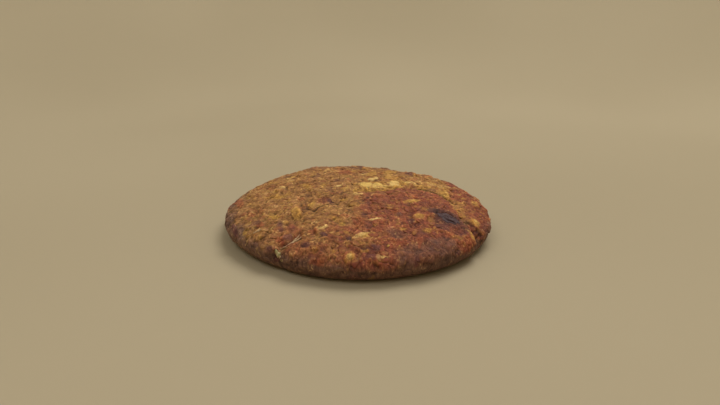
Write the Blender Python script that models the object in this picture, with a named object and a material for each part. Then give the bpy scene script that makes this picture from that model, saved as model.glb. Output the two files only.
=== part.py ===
"""An oatmeal cookie, 90 mm across: a domed disc of dough with oat flakes in its crust, and a raisin.

The dough is one solid with its flakes, and the raisin lies in a hollow of its own. The cookie rests on
the flat of its underside at z = 0, with its middle on the Z axis and the folds of its rim towards -Y.

A place on the crust is a share and a direction. The share runs along the section, from 0 in the middle
of the top to 1 at the widest level, and a little further on the underside. The direction turns from +X
to +Y.
"""

import math
import random
from bisect import bisect_right
from collections import namedtuple

import bmesh
import bpy
from mathutils import Matrix, Vector, noise

MM = 0.001

# The smooth form of the dough
RADIUS = 44.7 * MM
HEIGHT = 14.6 * MM
WIDEST_LEVEL = 5.0 * MM
BASE_RADIUS = 40.0 * MM
DOME_POWER = 1.7  # 2 would make the dome elliptic, and less makes it more pointed
MIDDLE = (-0.1 * MM, -0.5 * MM)  # the waves are uneven, and this centres the whole on the Z axis
# Each wave round the rim: its count, its height, and the direction of a crest in degrees
RIM_WAVES = ((2, 1.75 * MM, 109), (3, 0.65 * MM, -16), (4, 0.75 * MM, 21), (5, 0.5 * MM, 40))
SECTION_STEPS = 400
SLOPE_STEP = 0.004  # the shares and radians over which the slope of the crust is taken

# The mesh of the dough
TOP_RINGS = 25
SIDES_PER_RING = 6
UNDERSIDE_RINGS = 3

# Relief of the crust
LUMP_HEIGHT, LUMP_SIZE = 0.7 * MM, 12.0 * MM
CRAG_HEIGHT, CRAG_SIZE = 0.9 * MM, 4.6 * MM
CRAG_OCTAVES = 2
CRAG_MEAN = 0.35
CALM_BELOW = 6.5 * MM  # the relief fades out from this level down to the flat

# The raisin and its hollow
RAISIN_PLACE = (0.75, -41)
RAISIN_DIRECTION = -41  # degrees, along the fold
RAISIN_HALF_AXES = (5.2 * MM, 3.3 * MM, 2.7 * MM)
RAISIN_SUNK = 1.9 * MM  # its middle lies this far under the crust
RAISIN_FOLDS = 9
RAISIN_FOLD_DEPTH = 0.16
RAISIN_FOLD_POWER = 0.6  # under 1, the folds are narrower than the ridges between them
RAISIN_END_POWER = 4  # how close to its ends the folds run out
RAISIN_WANDER, RAISIN_WANDER_SIZE = 5, 0.6  # how far the folds bend, and over what share of its radius
RAISIN_MESH_LEVEL = 4
HOLLOW_GAP = 0.4 * MM

# Oat flakes: the largest come first
FLAKE_COUNT = 74
FLAKE_TRIES = 6000
LONGEST_FLAKE, SHORTEST_FLAKE = 7.4 * MM, 3.6 * MM
FLAKE_WIDTH_SHARE = (0.62, 0.82)
FLAKE_RISE = (0.28 * MM, 0.45 * MM)
FLAKE_TILT = 8  # degrees, at most
FLAKE_REACH = 1.02  # the share that the lowest flake's middle lies at
FLAKE_SPACING = 0.62  # of the two lengths' sum
FLAKE_SIDES = 8
FLAKE_SIDE_SHIFT = 0.2  # how far a corner moves round the edge, in sides
FLAKE_REACHES = (0.88, 1.06)  # how far out its corners lie
FLAKE_CROWN = 0.72  # where its top starts to slope down to the edge
# Heights in rises: its edge, its top's corners, the dip in its middle, and its root
FLAKE_EDGE = 0.4
FLAKE_TOPS = (0.85, 1.1)
FLAKE_DIP = 0.8
FLAKE_ROOT = 3.0
RAISIN_CLEARANCE = 1.5 * MM
SEED = 11

# The flakes that stand out: share, direction, length, width, and the direction of the long axis
SHOWN_FLAKES = (
    (0.08, -39, 6.0 * MM, 4.0 * MM, 85),
    (0.16, -20, 5.5 * MM, 4.0 * MM, 75),
    (0.28, 2, 6.5 * MM, 4.0 * MM, 80),
    (0.40, 10, 7.0 * MM, 4.0 * MM, 60),
    (0.32, 36, 7.0 * MM, 4.6 * MM, 65),
    (0.16, 42, 5.6 * MM, 4.0 * MM, 75),
    (0.34, 72, 7.0 * MM, 4.6 * MM, 85),
    (0.46, 55, 7.0 * MM, 4.8 * MM, 75),
    (0.63, -128, 6.0 * MM, 3.6 * MM, -75),
    (0.73, -106, 5.0 * MM, 4.0 * MM, -50),
    (0.77, -88, 6.0 * MM, 4.0 * MM, 40),
    (0.92, -93, 5.0 * MM, 4.0 * MM, -45),
    (0.95, -81, 5.0 * MM, 3.4 * MM, 5),
    (0.95, -75, 4.6 * MM, 3.2 * MM, 90),
    (0.86, -9, 7.0 * MM, 4.0 * MM, 70),
    (0.89, -31, 6.0 * MM, 3.8 * MM, -85),
    (0.67, -56, 5.4 * MM, 4.0 * MM, 65),
    (0.99, -118, 5.0 * MM, 3.2 * MM, 75),
    (0.64, -4, 7.0 * MM, 4.0 * MM, -80),
    (0.90, -132, 5.0 * MM, 4.0 * MM, -55),
    (0.48, -43, 7.0 * MM, 4.2 * MM, 40),
    (0.71, 90, 5.6 * MM, 4.2 * MM, 0),
    (0.80, 138, 5.8 * MM, 4.0 * MM, 40),
)

DOUGH_COLOUR = (0.30, 0.12, 0.045, 1.0)
DOUGH_ROUGHNESS = 0.75
RAISIN_COLOUR = (0.045, 0.022, 0.024, 1.0)
RAISIN_ROUGHNESS = 0.45

Flake = namedtuple("Flake", "share angle length width rise direction tilt")


def smooth_step(value, start, end):
    share = min(1.0, max(0.0, (value - start) / (end - start)))
    return share * share * (3 - 2 * share)


def smooth_line(corners, steps=6):
    """A Catmull-Rom line through the corners."""
    ends = [2 * corners[0] - corners[1], *corners, 2 * corners[-1] - corners[-2]]
    points = []
    for a, b, c, d in zip(ends, ends[1:], ends[2:], ends[3:]):
        for step in range(steps):
            t = step / steps
            bend = (c - a) * t + (2 * a - 5 * b + 4 * c - d) * t**2 + (3 * b - a - 3 * c + d) * t**3
            points.append(b + 0.5 * bend)
    return [*points, corners[-1]]


class Fold:
    """A crease of the crust along a smooth line seen from above, with one side over the other."""

    def __init__(self, corners, width, depths, step=0.0, step_reach=6.0 * MM):
        self.line = smooth_line([Vector((x * MM, y * MM)) for x, y in corners])
        self.width = width
        self.depths = depths
        self.step = step
        self.step_reach = step_reach

    def nearest(self, point):
        """Where along the line its nearest point is, from 0 to 1, and its distance, positive on the left."""
        share, distance = 0.0, math.inf
        for k, (start, end) in enumerate(zip(self.line, self.line[1:])):
            along = end - start
            t = min(1.0, max(0.0, (point - start).dot(along) / along.length_squared))
            away = point - (start + along * t)
            if away.length < abs(distance):
                distance = math.copysign(away.length, along.x * away.y - along.y * away.x)
                share = (k + t) / (len(self.line) - 1)
        return share, distance

    def height_at(self, point):
        """How far the fold moves the crust there: down along its line, and down on its left side."""
        share, distance = self.nearest(point)
        start, end = self.depths
        groove = (start + (end - start) * share) * math.exp(-((distance / self.width) ** 2))
        reach = math.exp(-((distance / self.step_reach) ** 2))
        return -groove - self.step * smooth_step(distance, 0.0, self.width) * reach


def make_folds():
    """The long split of the crust, the deep fold from the raisin to the rim, and a short one."""
    split_line = ((2, -10), (9, -8), (16, -3.5), (24, -3), (28.5, -8), (30, -15))
    right_line = ((28.5, -19), (31.5, -23.5), (35, -27.5), (41, -32))
    left_line = ((-12, -33), (-16.5, -35.5), (-21, -38), (-26, -44))
    return (
        Fold(split_line, width=1.3 * MM, depths=(0.3 * MM, 0.9 * MM), step=0.7 * MM),
        Fold(right_line, width=1.7 * MM, depths=(0.4 * MM, 2.6 * MM)),
        Fold(left_line, width=1.5 * MM, depths=(0.3 * MM, 1.9 * MM)),
    )


class Crust:
    """The surface of the dough, as a rule that gives the point and the outward direction at any place."""

    def __init__(self):
        self.folds = make_folds()
        self.section = self.dome() + self.underside()
        lengths = [0.0]
        for a, b in zip(self.section, self.section[1:]):
            lengths.append(lengths[-1] + (b - a).length)
        self.shares = [length / lengths[SECTION_STEPS] for length in lengths]

    def dome(self):
        """Radius and height, from the middle of the top to the widest level."""
        points = []
        for k in range(SECTION_STEPS + 1):
            turn = math.pi / 2 * (1 - k / SECTION_STEPS)
            rise = (HEIGHT - WIDEST_LEVEL) * math.sin(turn)
            points.append(Vector((RADIUS * math.cos(turn) ** (2 / DOME_POWER), WIDEST_LEVEL + rise)))
        return points

    def underside(self):
        """Radius and height, from under the widest level to the edge of the flat."""
        points = []
        for k in range(1, SECTION_STEPS + 1):
            turn = math.pi / 2 * k / SECTION_STEPS
            radius = BASE_RADIUS + (RADIUS - BASE_RADIUS) * math.cos(turn)
            points.append(Vector((radius, WIDEST_LEVEL * (1 - math.sin(turn)))))
        return points

    def smooth_point(self, share, angle):
        """The place on the form without relief."""
        share = min(max(share, 0.0), self.shares[-1])
        k = min(bisect_right(self.shares, share), len(self.shares) - 1)
        part = (share - self.shares[k - 1]) / (self.shares[k] - self.shares[k - 1])
        radius, level = self.section[k - 1].lerp(self.section[k], part)
        waves = 0.0
        for count, high, crest in RIM_WAVES:
            waves += high * math.cos(count * (angle - math.radians(crest)))
        radius *= 1 + waves / RADIUS
        return Vector((MIDDLE[0] + radius * math.cos(angle), MIDDLE[1] + radius * math.sin(angle), level))

    def normal(self, share, angle):
        if share < SLOPE_STEP:
            return Vector((0, 0, 1))
        step = SLOPE_STEP
        outwards = self.smooth_point(share + step, angle) - self.smooth_point(share - step, angle)
        around = self.smooth_point(share, angle + step) - self.smooth_point(share, angle - step)
        return outwards.cross(around).normalized()

    def relief(self, place):
        """How far the crust stands out there, from lumps, crags and folds."""
        lumps = LUMP_HEIGHT * noise.noise(place / LUMP_SIZE)
        crags = CRAG_HEIGHT * (CRAG_MEAN - noise.turbulence(place / CRAG_SIZE, CRAG_OCTAVES, True))
        pressed = sum(fold.height_at(place.xy) for fold in self.folds)
        return smooth_step(place.z, 0.0, CALM_BELOW) * (lumps + crags + pressed)

    def point(self, share, angle):
        place = self.smooth_point(share, angle)
        return place + self.normal(share, angle) * self.relief(place)

    def frame(self, share, angle, direction, sunk=0.0):
        """A frame on the crust: X runs in the direction seen from above, and Z stands on the crust."""
        normal = self.normal(share, angle)
        along = Vector((math.cos(direction), math.sin(direction), 0))
        along = (along - normal * along.dot(normal)).normalized()
        turn = Matrix((along, normal.cross(along), normal)).transposed().to_4x4()
        return Matrix.Translation(self.point(share, angle) - normal * sunk) @ turn


def make_ring(bm, crust, share, sides):
    return [bm.verts.new(crust.point(share, 2 * math.pi * k / sides)) for k in range(sides)]


def join_growing_rings(bm, inner, outer):
    """Triangles between a ring and the next, which has one more point in each of its six sides."""
    per_side = len(outer) // SIDES_PER_RING
    for side in range(SIDES_PER_RING):
        for k in range(per_side):
            a = outer[side * per_side + k]
            b = outer[(side * per_side + k + 1) % len(outer)]
            c = inner[(side * (per_side - 1) + k) % len(inner)]
            bm.faces.new((a, b, c))
            if k < per_side - 1:
                d = inner[(side * (per_side - 1) + k + 1) % len(inner)]
                bm.faces.new((c, b, d))


def join_equal_rings(bm, upper, lower):
    count = len(upper)
    for k in range(count):
        following = (k + 1) % count
        bm.faces.new((upper[k], lower[k], lower[following]))
        bm.faces.new((upper[k], lower[following], upper[following]))


def dough_solid(crust):
    """Rings of points from the middle of the top to the edge of the flat, and the flat itself."""
    bm = bmesh.new()
    inner = [bm.verts.new(crust.point(0, 0))]
    for k in range(1, TOP_RINGS + 1):
        outer = make_ring(bm, crust, k / TOP_RINGS, SIDES_PER_RING * k)
        join_growing_rings(bm, inner, outer)
        inner = outer
    for k in range(1, UNDERSIDE_RINGS + 1):
        lower = make_ring(bm, crust, 1 + (crust.shares[-1] - 1) * k / UNDERSIDE_RINGS, len(inner))
        join_equal_rings(bm, inner, lower)
        inner = lower
    bm.faces.new(tuple(reversed(inner)))
    return bm


def raisin_solid(grow=0.0, fold_depth=RAISIN_FOLD_DEPTH):
    """A long round body. Its folds run from end to end and only go inwards."""
    bm = bmesh.new()
    bmesh.ops.create_icosphere(bm, subdivisions=RAISIN_MESH_LEVEL, radius=1.0)
    for vert in bm.verts:
        unit = vert.co.copy()
        around = math.atan2(unit.z, unit.y)
        wander = RAISIN_WANDER * noise.noise(unit / RAISIN_WANDER_SIZE)
        ridge = 0.5 - 0.5 * math.cos(RAISIN_FOLDS * around + wander)
        inwards = fold_depth * (1 - ridge**RAISIN_FOLD_POWER) * (1 - unit.x**RAISIN_END_POWER)
        vert.co = [c * (half * (1 - inwards) + grow) for c, half in zip(unit, RAISIN_HALF_AXES)]
    return bm


def plan_flakes(crust):
    """Each flake's place, size and turn: the shown ones first, then others wherever they find room."""
    draw = random.Random(SEED)
    raisin_share, raisin_degrees = RAISIN_PLACE
    raisin_middle = crust.point(raisin_share, math.radians(raisin_degrees))
    kept_clear = max(RAISIN_HALF_AXES) + HOLLOW_GAP + RAISIN_CLEARANCE
    flakes, middles = [], []
    for share, degrees, length, width, turn in SHOWN_FLAKES:
        angle = math.radians(degrees)
        tilt = draw.uniform(-FLAKE_TILT, FLAKE_TILT)
        rise = draw.uniform(*FLAKE_RISE)
        flakes.append(Flake(share, angle, length, width, rise, math.radians(turn), tilt))
        middles.append(crust.point(share, angle))
    for _ in range(FLAKE_TRIES):
        if len(flakes) == FLAKE_COUNT:
            break
        share = FLAKE_REACH * math.sqrt(draw.random())
        angle = draw.uniform(-math.pi, math.pi)
        middle = crust.point(share, angle)
        length = LONGEST_FLAKE + (SHORTEST_FLAKE - LONGEST_FLAKE) * len(flakes) / FLAKE_COUNT
        near_raisin = (middle - raisin_middle).length < kept_clear + length / 2
        crowded = any(
            (middle - other).length < FLAKE_SPACING * (length + flake.length)
            for other, flake in zip(middles, flakes)
        )
        if near_raisin or crowded:
            continue
        width = length * draw.uniform(*FLAKE_WIDTH_SHARE)
        direction = draw.uniform(0, math.pi)
        tilt = draw.uniform(-FLAKE_TILT, FLAKE_TILT)
        rise = draw.uniform(*FLAKE_RISE)
        flakes.append(Flake(share, angle, length, width, rise, direction, tilt))
        middles.append(middle)
    return flakes


def flake_solid(flake, seed):
    """An oat flake: a low disc with an uneven edge, whose lower point goes into the dough."""
    draw = random.Random(seed)
    bm = bmesh.new()
    edge, crown = [], []
    for k in range(FLAKE_SIDES):
        angle = 2 * math.pi * (k + draw.uniform(-FLAKE_SIDE_SHIFT, FLAKE_SIDE_SHIFT)) / FLAKE_SIDES
        reach = draw.uniform(*FLAKE_REACHES)
        x = 0.5 * flake.length * reach * math.cos(angle)
        y = 0.5 * flake.width * reach * math.sin(angle)
        edge.append(bm.verts.new((x, y, FLAKE_EDGE * flake.rise)))
        top = flake.rise * draw.uniform(*FLAKE_TOPS)
        crown.append(bm.verts.new((FLAKE_CROWN * x, FLAKE_CROWN * y, top)))
    middle = bm.verts.new((0, 0, FLAKE_DIP * flake.rise))
    root = bm.verts.new((0, 0, -FLAKE_ROOT * flake.rise))
    for k in range(FLAKE_SIDES):
        following = (k + 1) % FLAKE_SIDES
        bm.faces.new((middle, crown[k], crown[following]))
        bm.faces.new((crown[k], edge[k], edge[following]))
        bm.faces.new((crown[k], edge[following], crown[following]))
        bm.faces.new((edge[k], root, edge[following]))
    return bm


def add_object(name, bm, collection=None):
    bm.normal_update()
    mesh = bpy.data.meshes.new(name)
    bm.to_mesh(mesh)
    bm.free()
    mesh.shade_smooth()
    obj = bpy.data.objects.new(name, mesh)
    (collection or bpy.context.scene.collection).objects.link(obj)
    return obj


def set_material(obj, colour, roughness):
    material = bpy.data.materials.new(obj.name)
    material.use_nodes = True
    shader = material.node_tree.nodes["Principled BSDF"]
    shader.inputs["Base Color"].default_value = colour
    shader.inputs["Roughness"].default_value = roughness
    shader.inputs["Metallic"].default_value = 0.0
    obj.data.materials.append(material)


def apply_boolean(obj, operation, **other):
    """Cuts or joins, leaves the result as the object's own mesh, and removes the modifier."""
    modifier = obj.modifiers.new(operation.lower(), "BOOLEAN")
    modifier.operation = operation
    modifier.solver = "EXACT"
    for setting, value in other.items():
        setattr(modifier, setting, value)
    bpy.context.view_layer.update()
    evaluated = obj.evaluated_get(bpy.context.evaluated_depsgraph_get())
    mesh = bpy.data.meshes.new_from_object(evaluated)
    obj.modifiers.clear()
    obj.data = mesh


def cut_hollow(dough, raisin_frame):
    """Cuts the raisin's hollow, open to the top, out of the dough."""
    cutter = add_object("hollow_cutter", raisin_solid(grow=HOLLOW_GAP, fold_depth=0.0))
    cutter.matrix_world = raisin_frame
    apply_boolean(dough, "DIFFERENCE", object=cutter)
    bpy.data.objects.remove(cutter)


def fuse_flakes(dough, crust):
    """Joins all flakes to the dough as one solid."""
    flakes = bpy.data.collections.new("flakes")
    bpy.context.scene.collection.children.link(flakes)
    for k, flake in enumerate(plan_flakes(crust)):
        obj = add_object(f"flake_{k}", flake_solid(flake, SEED + k), flakes)
        tip = Matrix.Rotation(math.radians(flake.tilt), 4, "X")
        obj.matrix_world = crust.frame(flake.share, flake.angle, flake.direction) @ tip
    apply_boolean(dough, "UNION", operand_type="COLLECTION", collection=flakes)
    for obj in list(flakes.objects):
        bpy.data.objects.remove(obj)
    bpy.data.collections.remove(flakes)


def main():
    for obj in list(bpy.data.objects):
        bpy.data.objects.remove(obj)
    crust = Crust()
    share, degrees = RAISIN_PLACE
    raisin_frame = crust.frame(share, math.radians(degrees), math.radians(RAISIN_DIRECTION), RAISIN_SUNK)
    dough = add_object("cookie", dough_solid(crust))
    cut_hollow(dough, raisin_frame)
    fuse_flakes(dough, crust)
    set_material(dough, DOUGH_COLOUR, DOUGH_ROUGHNESS)
    raisin = add_object("raisin", raisin_solid())
    raisin.matrix_world = raisin_frame
    set_material(raisin, RAISIN_COLOUR, RAISIN_ROUGHNESS)


main()
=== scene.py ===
import math
import random
from collections import namedtuple

import bmesh
import bpy
import numpy as np
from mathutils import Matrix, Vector, kdtree, noise


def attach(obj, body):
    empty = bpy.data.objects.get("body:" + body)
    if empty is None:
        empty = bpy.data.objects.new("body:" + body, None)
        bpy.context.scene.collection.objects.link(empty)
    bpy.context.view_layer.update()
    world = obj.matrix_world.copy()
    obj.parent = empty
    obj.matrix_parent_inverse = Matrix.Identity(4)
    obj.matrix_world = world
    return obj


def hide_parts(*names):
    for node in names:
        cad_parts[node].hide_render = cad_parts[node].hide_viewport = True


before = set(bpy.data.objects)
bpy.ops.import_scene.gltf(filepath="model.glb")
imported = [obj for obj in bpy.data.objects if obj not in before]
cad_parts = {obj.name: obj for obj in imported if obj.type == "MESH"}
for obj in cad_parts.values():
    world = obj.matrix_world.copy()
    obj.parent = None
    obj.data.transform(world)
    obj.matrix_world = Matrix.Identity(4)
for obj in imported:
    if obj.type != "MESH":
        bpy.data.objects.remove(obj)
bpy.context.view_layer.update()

# The oatmeal cookie's looks. Its skin is one dense mesh, into which small oats and bits of fruit are pressed.
# Bare oat flakes, chips, crumbs and strips of husk lie in it, with a wrinkled raisin at the rim. Lengths are
# in metres. The forms down to the large flakes repeat the construction's own values, so each piece lies where
# its solid lies. A place on the crust is a share, from 0 in the middle of the top to 1 at the widest level,
# and a direction.

MM = 0.001

# The smooth form of the dough
RADIUS = 44.7 * MM
HEIGHT = 14.6 * MM
WIDEST_LEVEL = 5.0 * MM
BASE_RADIUS = 40.0 * MM
DOME_POWER = 1.7
MIDDLE = (-0.1 * MM, -0.5 * MM)
RIM_WAVES = ((2, 1.75 * MM, 109), (3, 0.65 * MM, -16), (4, 0.75 * MM, 21), (5, 0.5 * MM, 40))
SECTION_STEPS = 400
SLOPE_STEP = 0.004

# Relief that the solid has too
LUMP_HEIGHT, LUMP_SIZE = 0.7 * MM, 12.0 * MM
CRAG_HEIGHT, CRAG_SIZE = 0.9 * MM, 4.6 * MM
CRAG_OCTAVES = 2
CRAG_MEAN = 0.35
CALM_BELOW = 6.5 * MM

# Fine relief of the skin: wavy ridges, and the grain of the crumb. Along a side they run up and down.
RIDGE_HEIGHT, RIDGE_SIZE = 0.2 * MM, 1.5 * MM
SWIRL_REACH, SWIRL_SIZE = 1.2 * MM, 3.0 * MM  # how far, and over what length, the ridges' pattern is swirled
SWIRL_SHIFTS = (11, 47, 83)  # one for each axis
GRAIN_HEIGHT, GRAIN_SIZE = 0.1 * MM, 0.7 * MM
SIDE_STRETCH = 0.4
PURPLE_CALM = 0.75  # the share of the fine relief that the dark purple part of the crust lacks
PORE_DEPTH, PORE_SIZE = 0.35 * MM, 2.2 * MM

# The dense mesh of the skin
SIDES_PER_RING = 6
TOP_RINGS = 160
SIDE_RINGS = 12
FLAT_RINGS = 24
FLAT_SIDES_SHARE = 3  # the flat's rings have a third of the sides

# The raisin and its hollow
RAISIN_PLACE = (0.75, -41)
RAISIN_DIRECTION = -41
RAISIN_HALF_AXES = (5.2 * MM, 3.3 * MM, 2.7 * MM)
RAISIN_SUNK = 1.9 * MM
RAISIN_FOLDS = 9
RAISIN_FOLD_DEPTH = 0.11
RAISIN_FOLD_POWER, RAISIN_END_POWER = 0.6, 4
RAISIN_WANDER, RAISIN_WANDER_SIZE = 6, 0.5
RAISIN_WRINKLES, RAISIN_WRINKLE_DEPTH = 3.2, 0.09
HOLLOW_GAP = 0.4 * MM
UNDER_RAISIN, UNDER_SHARE = 0.3 * MM, 0.75  # how far under the raisin's top, and at what share, the skin is
LIP_HEIGHT, LIP_WIDTH = 0.3 * MM, 0.25  # the dough swells up round the raisin

STAIN, STAIN_START, STAIN_FADE = 0.7, 0.7, 0.5  # how dark the dough is, and from which share outwards

# The flakes that the solid has too
FLAKE_COUNT = 74
FLAKE_TRIES = 6000
LONGEST_FLAKE, SHORTEST_FLAKE = 7.4 * MM, 3.6 * MM
FLAKE_WIDTH_SHARE = (0.62, 0.82)
FLAKE_RISE = (0.28 * MM, 0.45 * MM)
FLAKE_TILT = 8
FLAKE_REACH = 1.02
FLAKE_SPACING = 0.62
RAISIN_CLEARANCE = 1.5 * MM
SEED = 11
# Share, direction, length and width in millimetres, the long axis's direction, and how bare of dough it is
SHOWN_FLAKES = (
    (0.08, -39, 6, 4, 85, 1), (0.16, -20, 5.5, 4, 75, 1), (0.28, 2, 6.5, 4, 80, 0.5),
    (0.4, 10, 7, 4, 60, 0.35), (0.32, 36, 7, 4.6, 65, 0.5), (0.16, 42, 5.6, 4, 75, 0.5),
    (0.34, 72, 7, 4.6, 85, 0.4), (0.46, 55, 7, 4.8, 75, 0.55), (0.63, -128, 6, 3.6, -75, 0.4),
    (0.73, -106, 5, 4, -50, 0.35), (0.77, -88, 6, 4, 40, 0.4), (0.92, -93, 5, 4, -45, 0.3),
    (0.95, -81, 5, 3.4, 5, 0.3), (0.95, -75, 4.6, 3.2, 90, 0.35), (0.86, -9, 7, 4, 70, 0.35),
    (0.89, -31, 6, 3.8, -85, 0.35), (0.67, -56, 5.4, 4, 65, 0.35), (0.99, -118, 5, 3.2, 75, 0.3),
    (0.64, -4, 7, 4, -80, 0.3), (0.9, -132, 5, 4, -55, 0.3), (0.48, -43, 7, 4.2, 40, 0.3),
    (0.71, 90, 5.6, 4.2, 0, 0.2), (0.8, 138, 5.8, 4, 40, 0.2),
)
OTHER_FLAKES_BARE = (0.0, 0.35)
BACK_FLAKES_BARE = (0.2, 0.8)  # on the side that the photograph doesn't show
BACK_FROM = 30 * MM
GOLDEN_SHARE = 0.618  # spreads a value evenly over a row of flakes
FLAKE_LIFT = 0.45  # the share of its rise that a bare flake stands over the dough
FLAKE_FLATNESS = 0.85
COVER_HEIGHT, COVER_SIZE = 0.8 * MM, 1.8 * MM  # dough that lies over the flakes here and there
BARE_FROM = 0.45  # flakes at least this bare are pieces of their own, and the others show in the skin

# Small oats that are pressed into the skin, and bits of fruit under it
SMALL_OAT_COUNT = 1900
SMALL_OAT_LENGTHS = (1.5 * MM, 4.2 * MM)
SMALL_OAT_RISE = (0.04 * MM, 0.2 * MM)
SMALL_OAT_LEAN = 6
SMALL_OAT_BARE = 0.7
FRUIT_RISE, FRUIT_FLATNESS = 0.22 * MM, 0.6
SMALLEST_FRUIT = 1.9 * MM  # narrower plum spots are colour alone
EVENED = 0.7  # how far the skin under a pressed item is evened out
OAT_DIP = 0.2 * MM  # the skin dips this far round a small oat
OAT_SHOWS = (-0.04 * MM, 0.06 * MM)  # how far over the skin a small oat starts to show, and shows in full

# Soft spots of colour: share, direction, length and width in millimetres, and the long axis's direction
GOLD_SPOTS = (
    (0.13, -25, 11, 8, 10), (0.3, 6, 10, 5, 70), (0.38, 10, 6, 2.5, 55), (0.32, 33, 6, 4, 45),
    (0.33, 70, 6, 3.5, 80), (0.46, 55, 7, 4, 65), (0.51, 4, 5, 4, 20), (0.62, 9, 5, 2, 75),
    (0.64, -4, 6, 2.5, -75), (0.86, -9, 7, 2.5, 75), (0.63, -128, 6, 3, -80), (0.73, -137, 4, 2.5, -60),
    (0.49, -128, 3.5, 2.5, -70), (0.93, -140, 3.5, 2, -70), (0.37, -178, 6.5, 3.5, -75),
    (0.25, -169, 5, 2, -85), (0.34, -104, 2.5, 2, -80), (0.16, -92, 3, 2, 90), (0.59, -165, 8, 4, -40),
    (0.65, -98, 2.5, 2, -80), (0.48, -43, 6, 2.5, 30), (0.66, -56, 3.5, 3, 65), (0.78, -30, 4, 2, -80),
    (0.89, -32, 4, 2.5, -75), (0.94, -42, 3.5, 1.4, -60), (0.89, -41, 2.2, 1.6, -20), (0.79, -59, 3, 2, 40),
    (0.74, -69, 2, 1.5, 55), (0.89, -87, 2.5, 1.5, 0), (0.93, -92, 3.4, 2.6, 60), (0.77, -86, 4, 2, 40),
)
RUST_SPOTS = (
    (0.89, -121, 3.5, 2.5, -65), (0.84, -137, 3, 2, -55), (0.4, -123, 5.5, 3.5, -80),
    (0.76, -110, 3, 2.5, -60), (0.89, -90, 2.5, 2, -5), (0.87, -66, 4, 1.2, 85), (0.44, -34, 5.5, 2, 60),
    (0.58, -16, 5, 2.5, 65), (0.53, -64, 3.5, 2, 80), (0.63, -89, 6.5, 4, 90), (0.56, -97, 2.5, 2.5, -20),
    (0.98, -103, 3.5, 2, 0), (0.84, -74, 5, 3, 15), (0.86, -173, 9, 2.5, -70), (0.82, -150, 4, 2, -45),
    (0.95, -45, 3, 2, -85), (0.87, -52, 4, 2, 25), (0.36, 105, 10, 7, -75),
)
PLUM_SPOTS = (
    (0.8, -126, 4.5, 2, -80), (0.96, -147, 7, 1.8, -75), (0.85, -119, 3.5, 2, 40),
    (0.96, -123, 2.5, 2, -50), (0.4, -116, 3, 1.8, -85), (0.8, -50, 4.5, 3, -20), (0.57, -63, 3, 2, 80),
    (0.6, 45, 9, 3, 90), (0.68, -62, 2.5, 2, 55), (0.64, -43, 3.5, 2.5, 40), (0.87, -83, 2.5, 2.5, 70),
    (0.93, -85, 2.5, 2, 5), (0.98, -70, 3, 1.5, -75), (1, -53, 3, 1.5, -55), (0.78, -104, 2.5, 1.5, -25),
    (0.79, -93, 2, 1.5, -85), (0.88, -109, 2.5, 2, -40), (0.98, -91, 2, 1.5, 90), (0.76, -41, 13, 9, -41),
    (1.02, -120, 3, 1.8, 60),
)
FAINT_PLUM_SPOTS = (
    (0.42, 138, 9, 3, 80), (0.24, -139, 5, 2, -85), (0.76, 140, 15, 5, 50), (0.39, -79, 12, 1.5, 90),
    (0.97, -33, 7, 4, -60), (0.91, -36, 5, 1.6, -40), (0.4, -122, 5.5, 3, -80),
)
FAINT_STRENGTH, FAINT_SEED = 0.5, 25
PALE_SPOTS = (
    (0.89, -134, 2.5, 1, 45), (0.15, -146, 2.5, 2, 15), (0.25, -89, 4, 1.2, 10), (0.61, -80, 4.5, 0.8, 5),
    (0.47, -96, 2, 1.2, 25), (0.16, 39, 4.5, 2, 60), (0.72, -106, 3, 1.2, 5), (0.93, -92.4, 1.8, 1.3, 60),
    (0.94, -81, 2.2, 0.8, -10), (0.765, -88, 4.4, 1.5, 27), (0.98, -39, 2, 1, -75), (0.12, -26, 10, 4.5, 0),
    (0.27, 2, 4, 2, 80),
)
# Elsewhere the same kinds of spots lie at random: how many, their sizes in millimetres, how strong they are,
# and the share of them that may lie on the side that the photograph shows
OTHER_SPOTS, OTHER_SPOT_SIZES, OTHER_SPOT_STRENGTH = (60, 50, 40, 30), (2.0, 6.0), 0.6
FRONT_SPOTS = 0.1
SPOT_SEED = 71
PLUM_CHANNEL, DARK_CHANNEL = 2, 3  # of the spots, and of the zones
# Small bare chips that catch the eye: share and direction
SPECKS = (
    (0.09, -107), (0.9, -105), (0.86, -97), (0.86, -78), (0.87, -74), (0.84, -112), (0.93, -124), (0.89, -99),
)
SPECK_LENGTH, SPECK_WIDTH, SPECK_BARE = 1.1 * MM, 0.8 * MM, 0.75

# Loose small things on the skin
OAT_BIT_COUNT, OAT_BIT_LENGTHS, OAT_BIT_RISE = 420, (1.4 * MM, 3.4 * MM), (0.14 * MM, 0.24 * MM)
CHIP_COUNT, CHIP_LENGTHS, CHIP_RISE = 1000, (0.6 * MM, 1.5 * MM), (0.08 * MM, 0.18 * MM)
CRUMB_COUNT, CRUMB_SIZES, CRUMB_RARITY = 170, (0.25 * MM, 0.55 * MM), 2.0
OAT_BIT_LEAN, CHIP_LEAN = 7, 14
OAT_RARITY, OAT_REACH = 1.5, 1.07  # how rare long ones are, and the share that they reach out to
OAT_GROOVE, OAT_LOWER = 0.4, ((0.92, -1.6), (0.5, -2.0))  # the groove's depth, and the underside, in lifts
OAT_SWAY, OAT_SWAY_SIZE = 2.0, 2.4 * MM  # oats dip under the skin here and there, by this many lifts
# The seeds for where items lie, and for how each is made
SMALL_OAT_SEEDS, OAT_BIT_SEEDS, CHIP_SEEDS, CRUMB_SEEDS = (21, 22), (31, 32), (33, 34), (41, 42)
FRUIT_SEED, FLAKE_SEED = 23, 24
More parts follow.
